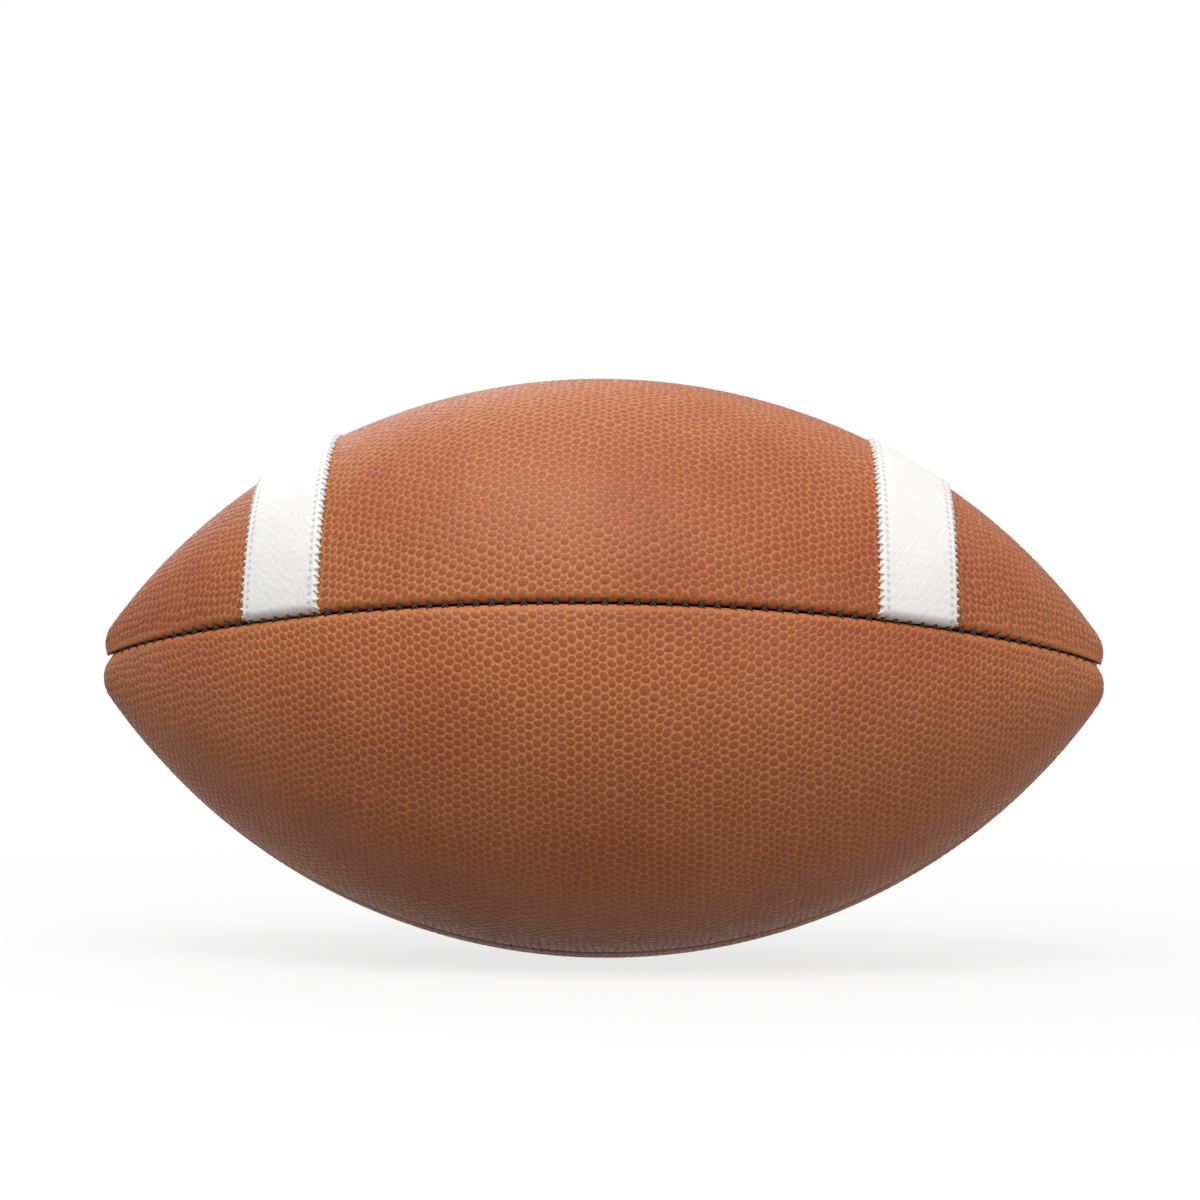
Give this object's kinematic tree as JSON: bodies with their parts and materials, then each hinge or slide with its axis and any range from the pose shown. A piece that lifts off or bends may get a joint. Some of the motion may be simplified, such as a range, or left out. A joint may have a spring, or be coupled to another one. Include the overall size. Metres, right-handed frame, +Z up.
{
  "type": "american football",
  "caption": "Prolate leather ball of sewn panels with raised stripes, closed by a long lace over an inflatable bladder with a needle valve.",
  "frame": {"origin": "middle of the ball, on its long axis", "axes": "+X along the ball, +Z up as it lies, with the lace seam leaning back 11.8 degrees; -Y faces the viewer"},
  "size_m": [0.286, 0.1681, 0.168],
  "materials": {
    "leather": "pebbled, satin",
    "lining_cloth": "coated cotton",
    "stripe": "painted, fine grain",
    "white_thread": "waxed thread",
    "dark_thread": "waxed thread",
    "bladder_rubber": "smooth",
    "valve_rubber": "moulded",
    "plug_rubber": "moulded",
    "lace": "fine grained"
  },
  "bodies": {
    "ball": {"panel_front_upper": "leather", "panel_rear_upper": "leather", "panel_rear_lower": "leather", "panel_front_lower": "leather", "lining_front_upper": "lining_cloth", "lining_rear_upper": "lining_cloth", "lining_rear_lower": "lining_cloth", "lining_front_lower": "lining_cloth", "stripe_front_left": "stripe", "stripe_front_right": "stripe", "stripe_rear_left": "stripe", "stripe_rear_right": "stripe", "stripe_thread_front_left": "white_thread", "stripe_thread_front_right": "white_thread", "stripe_thread_rear_left": "white_thread", "stripe_thread_rear_right": "white_thread", "seam_thread_front": "dark_thread", "seam_thread_lace": "dark_thread", "seam_thread_rear": "dark_thread", "seam_thread_bottom": "dark_thread", "bladder": "bladder_rubber", "valve_housing": "valve_rubber", "lace": "lace", "lace_facing_front": "lining_cloth", "lace_facing_rear": "lining_cloth", "lace_pad": "lining_cloth"},
    "plug": {"valve_plug": "plug_rubber"}
  },
  "joints": [
    {"name": "valve_plug_pull", "type": "slide", "parent": "ball", "child": "plug", "axis": [0, 0.8368, 0.5476], "range_m": [0, 0.016]}
  ]
}
